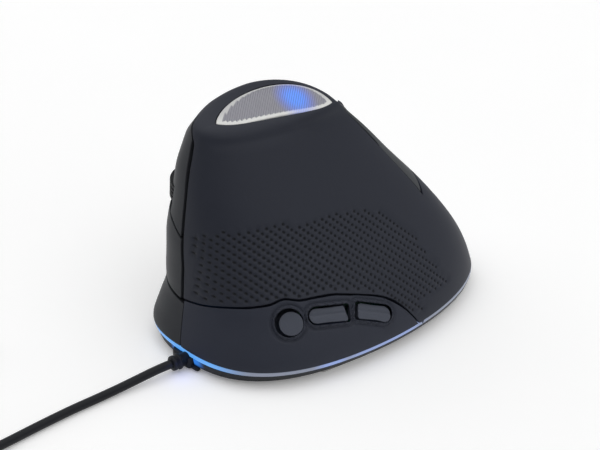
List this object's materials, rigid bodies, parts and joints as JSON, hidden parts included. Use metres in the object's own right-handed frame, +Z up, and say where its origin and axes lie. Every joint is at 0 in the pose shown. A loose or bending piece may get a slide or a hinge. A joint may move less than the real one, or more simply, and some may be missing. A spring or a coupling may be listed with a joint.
{
  "type": "vertical mouse",
  "caption": "Wired upright computer mouse for the right hand, with side thumb buttons, front main buttons, a scroll wheel, a lit top lens and a light ring round its base.",
  "frame": {"origin": "on the desk under the middle of the body's box, cable and plug left out", "axes": "+X to the palm side, +Y to the nose where the cable leaves, +Z up; the thumb side faces -X"},
  "size_m": [0.0926, 0.2475, 0.0729],
  "materials": {
    "tray_plastic": "fine matt",
    "glide": "smooth",
    "screw_steel": "bright",
    "light_guide": "frosted, lit from inside",
    "shell_plastic": "soft matt",
    "cover_plastic": "soft matt",
    "inner_plastic": "moulded",
    "board": "solder mask",
    "switch_black": "moulded",
    "plunger_red": "moulded",
    "wheel_plastic": "moulded",
    "tyre_rubber": "ribbed",
    "encoder_blue": "moulded",
    "button_plastic": "soft matt",
    "lens_clear": "fine ribs",
    "reflector": "silvered",
    "white_board": "solder mask",
    "led": "clear",
    "sensor_optic": "clear",
    "sensor_light": "clear red",
    "connector": "moulded",
    "cord_rubber": "smooth",
    "tie_black": "smooth",
    "grip_plastic": "moulded",
    "plug_metal": "bright",
    "plug_white": "moulded",
    "gold": "plated"
  },
  "bodies": {
    "base": {"base_tray": "tray_plastic", "glide_feet": "glide", "base_screws": "screw_steel", "light_ring": "light_guide", "main_shell": "shell_plastic", "thumb_skirt": "shell_plastic", "palm_cover": "cover_plastic", "hinge_pin": "screw_steel", "switch_frame": "inner_plastic", "button_board": "board", "left_switch": "switch_black", "right_switch": "switch_black", "wheel_switch": "switch_black", "thumb_board": "board", "thumb_board_screws": "screw_steel", "thumb_switches": "switch_black", "top_lens": "lens_clear", "lens_reflector": "reflector", "lens_holder": "inner_plastic", "lens_board": "white_board", "lens_led": "led", "main_board": "board", "board_screws": "screw_steel", "sensor_chip": "switch_black", "sensor_lens": "sensor_optic", "sensor_led": "sensor_light", "ring_leds": "led", "cable_socket": "connector", "lead_plug": "connector", "inner_lead": "cord_rubber", "strain_relief": "cord_rubber", "cable": "cord_rubber", "cable_coil": "cord_rubber", "cable_tie": "tie_black", "plug_grip": "grip_plastic", "plug_shell": "plug_metal", "plug_tongue": "plug_white", "plug_contacts": "gold"},
    "left_button": {"left_button": "cover_plastic", "left_plunger": "plunger_red"},
    "right_button": {"right_button": "cover_plastic", "right_plunger": "plunger_red"},
    "wheel_carriage": {"wheel_carriage": "inner_plastic", "wheel_encoder": "encoder_blue"},
    "wheel": {"wheel_hub": "wheel_plastic", "wheel_tyre": "tyre_rubber"},
    "dpi_button": {"dpi_button": "button_plastic"},
    "forward_button": {"forward_button": "button_plastic"},
    "back_button": {"back_button": "button_plastic"}
  },
  "joints": [
    {"name": "left_click", "type": "hinge", "parent": "base", "child": "left_button", "pos_m": [0.02936, -0.008, 0.0419], "axis": [0, 0.309, 0.9511], "range_deg": [0, 0.9], "stiffness_Nm_per_rad": 1.5},
    {"name": "right_click", "type": "hinge", "parent": "base", "child": "right_button", "pos_m": [0.02936, -0.008, 0.0419], "axis": [0, 0.309, 0.9511], "range_deg": [0, 0.9], "stiffness_Nm_per_rad": 1.5},
    {"name": "wheel_press", "type": "slide", "parent": "base", "child": "wheel_carriage", "axis": [-0.8639, -0.4988, -0.0698], "range_m": [0, 0.0005], "stiffness_N_per_m": 1500},
    {"name": "wheel_spin", "type": "hinge", "parent": "wheel_carriage", "child": "wheel", "pos_m": [0.02533, 0.03105, 0.04623], "axis": [-0.0604, -0.0349, 0.9976], "continuous": true},
    {"name": "dpi_press", "type": "slide", "parent": "base", "child": "dpi_button", "axis": [0.7332, -0.3404, -0.5887], "range_m": [0, 0.0005], "stiffness_N_per_m": 1200},
    {"name": "forward_press", "type": "slide", "parent": "base", "child": "forward_button", "axis": [0.7865, -0.1387, -0.6018], "range_m": [0, 0.0005], "stiffness_N_per_m": 1200},
    {"name": "back_press", "type": "slide", "parent": "base", "child": "back_button", "axis": [0.8047, 0.0344, -0.5927], "range_m": [0, 0.0005], "stiffness_N_per_m": 1200}
  ]
}
